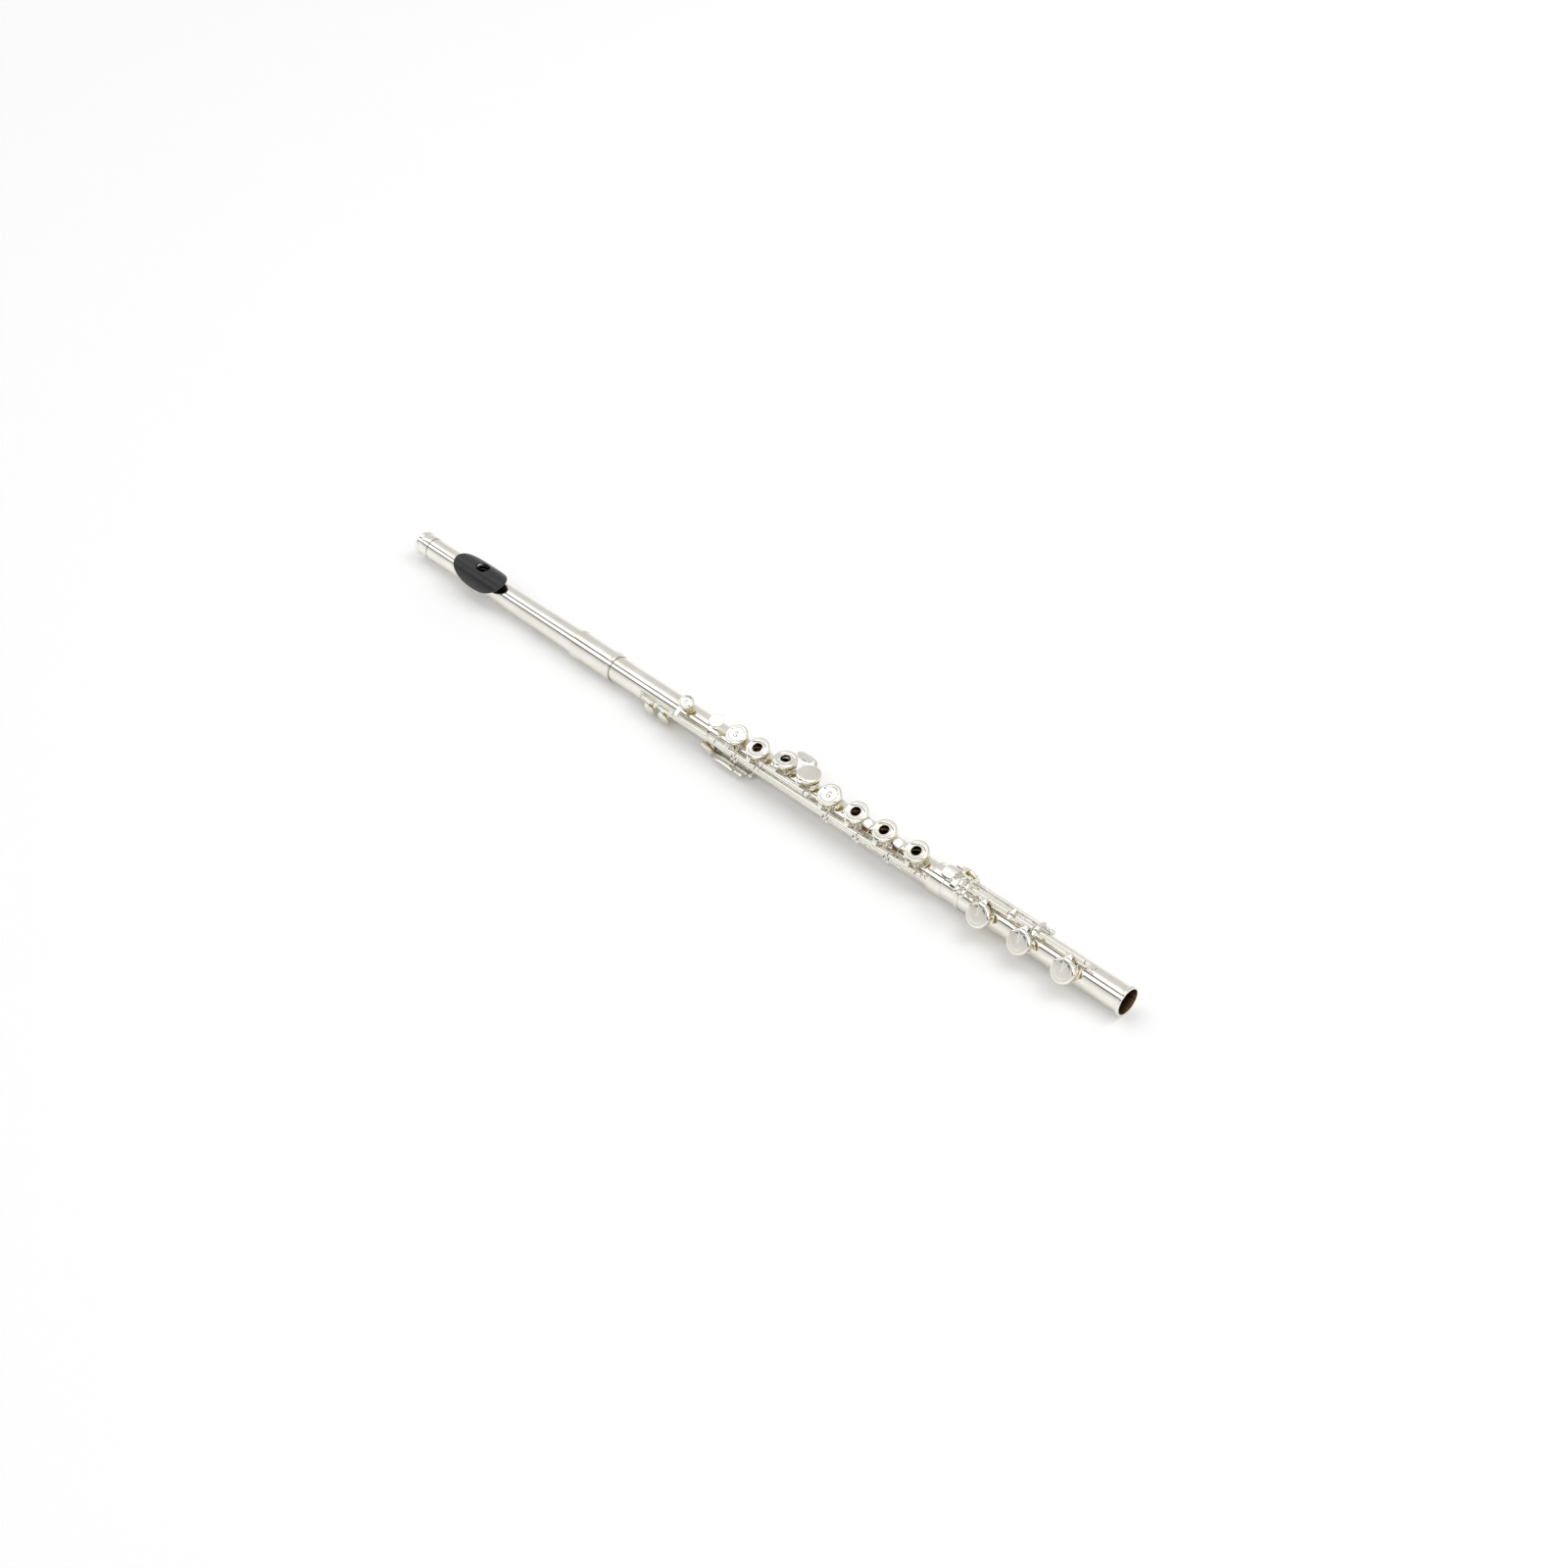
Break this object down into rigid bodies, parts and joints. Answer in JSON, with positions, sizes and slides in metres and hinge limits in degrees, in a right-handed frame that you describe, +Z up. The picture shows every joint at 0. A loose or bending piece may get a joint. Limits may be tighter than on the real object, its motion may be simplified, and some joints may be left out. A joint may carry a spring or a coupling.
{
  "type": "concert flute",
  "caption": "Silver concert flute in three joints with a black lip plate, open-hole cups, offset G cups and a B foot, lying on its side keys up.",
  "frame": {"origin": "bottom centre of the bounding box, on the surface the flute lies on", "axes": "+X along the tube from the crown to the open end of the foot, +Z up, -Y towards the player's side with the key rods"},
  "size_m": [0.721, 0.0416, 0.0331],
  "materials": {
    "silver": "polished silver",
    "rod_steel": "drawn steel",
    "lip_black": "satin black",
    "pad_skin": "yellow skin over felt",
    "cork": "natural cork"
  },
  "bodies": {
    "body_joint": {"body_tube": "silver", "barrel": "silver", "main_rib": "silver", "g_rib": "silver", "thumb_rib": "silver", "g_sharp_rib": "silver", "main_rod": "rod_steel", "g_rod": "rod_steel", "thumb_rod": "rod_steel", "g_sharp_rod": "rod_steel"},
    "head_joint": {"head_tube": "silver", "lip_plate": "lip_black", "embouchure_riser": "silver"},
    "crown_and_stopper": {"crown": "silver", "stopper_screw": "silver", "stopper_cork": "cork", "stopper_nut": "silver"},
    "foot_joint": {"foot_tube": "silver", "foot_rib": "silver", "foot_rod": "rod_steel", "c_lever_rod": "rod_steel", "b_lever_rod": "rod_steel"},
    "c_sharp_key": {"c_sharp_key": "silver", "c_sharp_pad": "pad_skin"},
    "b_flat_key": {"b_flat_key": "silver", "b_flat_pad": "pad_skin"},
    "a_key": {"a_key": "silver", "a_pad": "pad_skin"},
    "g_key": {"g_key": "silver", "upper_g_pad": "pad_skin", "lower_g_pad": "pad_skin"},
    "f_sharp_key": {"f_sharp_key": "silver", "f_sharp_pad": "pad_skin"},
    "f_key": {"f_key": "silver", "f_pad": "pad_skin"},
    "e_key": {"e_key": "silver", "e_pad": "pad_skin"},
    "d_key": {"d_key": "silver", "d_pad": "pad_skin"},
    "d_trill_key": {"d_trill_key": "silver", "d_trill_pad": "pad_skin"},
    "d_sharp_trill_key": {"d_sharp_trill_key": "silver", "d_sharp_trill_pad": "pad_skin"},
    "b_thumb_key": {"b_thumb_key": "silver", "b_thumb_pad": "pad_skin"},
    "b_flat_thumb_lever": {"b_flat_thumb_lever": "silver"},
    "g_sharp_key": {"g_sharp_key": "silver", "g_sharp_pad": "pad_skin"},
    "d_sharp_foot_key": {"d_sharp_foot_key": "silver", "d_sharp_foot_pad": "pad_skin"},
    "c_sharp_foot_key": {"c_sharp_foot_key": "silver", "c_sharp_foot_pad": "pad_skin"},
    "c_foot_key": {"c_foot_key": "silver", "c_foot_pad": "pad_skin"},
    "b_foot_key": {"b_foot_key": "silver", "b_foot_pad": "pad_skin"},
    "c_lever": {"c_lever": "silver"},
    "b_lever": {"b_lever": "silver"},
    "c_roller": {"c_roller": "silver"},
    "b_roller": {"b_roller": "silver"}
  },
  "joints": [
    {"name": "head_slide", "type": "slide", "parent": "body_joint", "child": "head_joint", "axis": [-1, 0, 0], "range_m": [0, 0.012]},
    {"name": "crown_turn", "type": "hinge", "parent": "head_joint", "child": "crown_and_stopper", "pos_m": [-0.3525, -0.00016, 0.01146], "axis": [1, 0, 0], "continuous": true},
    {"name": "foot_turn", "type": "hinge", "parent": "body_joint", "child": "foot_joint", "pos_m": [0.1995, -0.00016, 0.01146], "axis": [1, 0, 0], "range_deg": [-20, 20]},
    {"name": "c_sharp_key_pivot", "type": "hinge", "parent": "body_joint", "child": "c_sharp_key", "pos_m": [-0.0305, -0.01367, 0.01926], "axis": [1, 0, 0], "range_deg": [-9.5, 0], "stiffness_Nm_per_rad": 0.02, "springref_deg": 14.32},
    {"name": "b_flat_key_pivot", "type": "hinge", "parent": "body_joint", "child": "b_flat_key", "pos_m": [0.0025, -0.01367, 0.01926], "axis": [1, 0, 0], "range_deg": [-9.5, 0], "stiffness_Nm_per_rad": 0.02, "springref_deg": 14.32},
    {"name": "a_key_pivot", "type": "hinge", "parent": "body_joint", "child": "a_key", "pos_m": [0.0225, -0.01367, 0.01926], "axis": [1, 0, 0], "range_deg": [-9.5, 0], "stiffness_Nm_per_rad": 0.02, "springref_deg": 14.32},
    {"name": "g_key_pivot", "type": "hinge", "parent": "body_joint", "child": "g_key", "pos_m": [0.0575, -0.0108, 0.02287], "axis": [1, 0, 0], "range_deg": [-9.5, 0], "stiffness_Nm_per_rad": 0.02, "springref_deg": 14.32},
    {"name": "f_sharp_key_pivot", "type": "hinge", "parent": "body_joint", "child": "f_sharp_key", "pos_m": [0.0705, -0.01367, 0.01926], "axis": [1, 0, 0], "range_deg": [-9.5, 0], "stiffness_Nm_per_rad": 0.02, "springref_deg": 14.32},
    {"name": "f_key_pivot", "type": "hinge", "parent": "body_joint", "child": "f_key", "pos_m": [0.1185, -0.01367, 0.01926], "axis": [1, 0, 0], "range_deg": [-9.5, 0], "stiffness_Nm_per_rad": 0.02, "springref_deg": 14.32},
    {"name": "e_key_pivot", "type": "hinge", "parent": "body_joint", "child": "e_key", "pos_m": [0.1475, -0.01367, 0.01926], "axis": [1, 0, 0], "range_deg": [-9.5, 0], "stiffness_Nm_per_rad": 0.02, "springref_deg": 14.32},
    {"name": "d_key_pivot", "type": "hinge", "parent": "body_joint", "child": "d_key", "pos_m": [0.1745, -0.01367, 0.01926], "axis": [1, 0, 0], "range_deg": [-9.5, 0], "stiffness_Nm_per_rad": 0.02, "springref_deg": 14.32},
    {"name": "d_trill_key_pivot", "type": "hinge", "parent": "body_joint", "child": "d_trill_key", "pos_m": [0.0355, -0.01214, 0.01467], "axis": [1, 0, 0], "range_deg": [-7, 0], "stiffness_Nm_per_rad": 0.02, "springref_deg": 14.32},
    {"name": "d_sharp_trill_key_pivot", "type": "hinge", "parent": "body_joint", "child": "d_sharp_trill_key", "pos_m": [0.0405, -0.01214, 0.01467], "axis": [1, 0, 0], "range_deg": [-7, 0], "stiffness_Nm_per_rad": 0.02, "springref_deg": 14.32},
    {"name": "b_thumb_key_pivot", "type": "hinge", "parent": "body_joint", "child": "b_thumb_key", "pos_m": [-0.0095, -0.0088, 0.00187], "axis": [1, 0, 0], "range_deg": [-5.5, 0], "stiffness_Nm_per_rad": 0.02, "springref_deg": 14.32},
    {"name": "b_flat_thumb_lever_pivot", "type": "hinge", "parent": "body_joint", "child": "b_flat_thumb_lever", "pos_m": [0.0135, -0.0088, 0.00187], "axis": [1, 0, 0], "range_deg": [-5.5, 0], "stiffness_Nm_per_rad": 0.02, "springref_deg": 14.32},
    {"name": "g_sharp_key_pivot", "type": "hinge", "parent": "body_joint", "child": "g_sharp_key", "pos_m": [0.0655, 0.01315, 0.00713], "axis": [1, 0, 0], "range_deg": [-7, 0], "stiffness_Nm_per_rad": 0.02, "springref_deg": 14.32},
    {"name": "d_sharp_foot_key_pivot", "type": "hinge", "parent": "foot_joint", "child": "d_sharp_foot_key", "pos_m": [0.2145, 0.00318, 0.02505], "axis": [1, 0, 0], "range_deg": [0, 6], "stiffness_Nm_per_rad": 0.02, "springref_deg": -14.32},
    {"name": "c_sharp_foot_key_pivot", "type": "hinge", "parent": "foot_joint", "child": "c_sharp_foot_key", "pos_m": [0.2365, -0.00449, 0.02686], "axis": [1, 0, 0], "range_deg": [0, 9.5], "stiffness_Nm_per_rad": 0.02, "springref_deg": -14.32},
    {"name": "c_foot_key_pivot", "type": "hinge", "parent": "foot_joint", "child": "c_foot_key", "pos_m": [0.2725, -0.00449, 0.02686], "axis": [1, 0, 0], "range_deg": [0, 9.5], "stiffness_Nm_per_rad": 0.02, "springref_deg": -14.32},
    {"name": "b_foot_key_pivot", "type": "hinge", "parent": "foot_joint", "child": "b_foot_key", "pos_m": [0.3055, -0.00449, 0.02686], "axis": [1, 0, 0], "range_deg": [0, 9.5], "stiffness_Nm_per_rad": 0.02, "springref_deg": -14.32},
    {"name": "c_lever_pivot", "type": "hinge", "parent": "foot_joint", "child": "c_lever", "pos_m": [0.2435, -0.00032, 0.02446], "axis": [1, 0, 0], "range_deg": [0, 5.59], "stiffness_Nm_per_rad": 0.02, "springref_deg": -14.32},
    {"name": "b_lever_pivot", "type": "hinge", "parent": "foot_joint", "child": "b_lever", "pos_m": [0.2565, 0.00318, 0.02505], "axis": [1, 0, 0], "range_deg": [0, 4.15], "stiffness_Nm_per_rad": 0.02, "springref_deg": -14.32},
    {"name": "c_roller_spin", "type": "hinge", "parent": "c_lever", "child": "c_roller", "pos_m": [0.2228, -0.01021, 0.02886], "axis": [0, -0.866, -0.5], "continuous": true},
    {"name": "b_roller_spin", "type": "hinge", "parent": "b_lever", "child": "b_roller", "pos_m": [0.2282, -0.01021, 0.02886], "axis": [0, -0.866, -0.5], "continuous": true}
  ],
  "couplings": [
    {"joint": "b_flat_key_pivot", "follows": "a_key_pivot", "ratio": 1},
    {"joint": "f_sharp_key_pivot", "follows": "f_key_pivot", "ratio": 1},
    {"joint": "c_foot_key_pivot", "follows": "c_lever_pivot", "ratio": 1.7},
    {"joint": "b_foot_key_pivot", "follows": "b_lever_pivot", "ratio": 2.29}
  ]
}
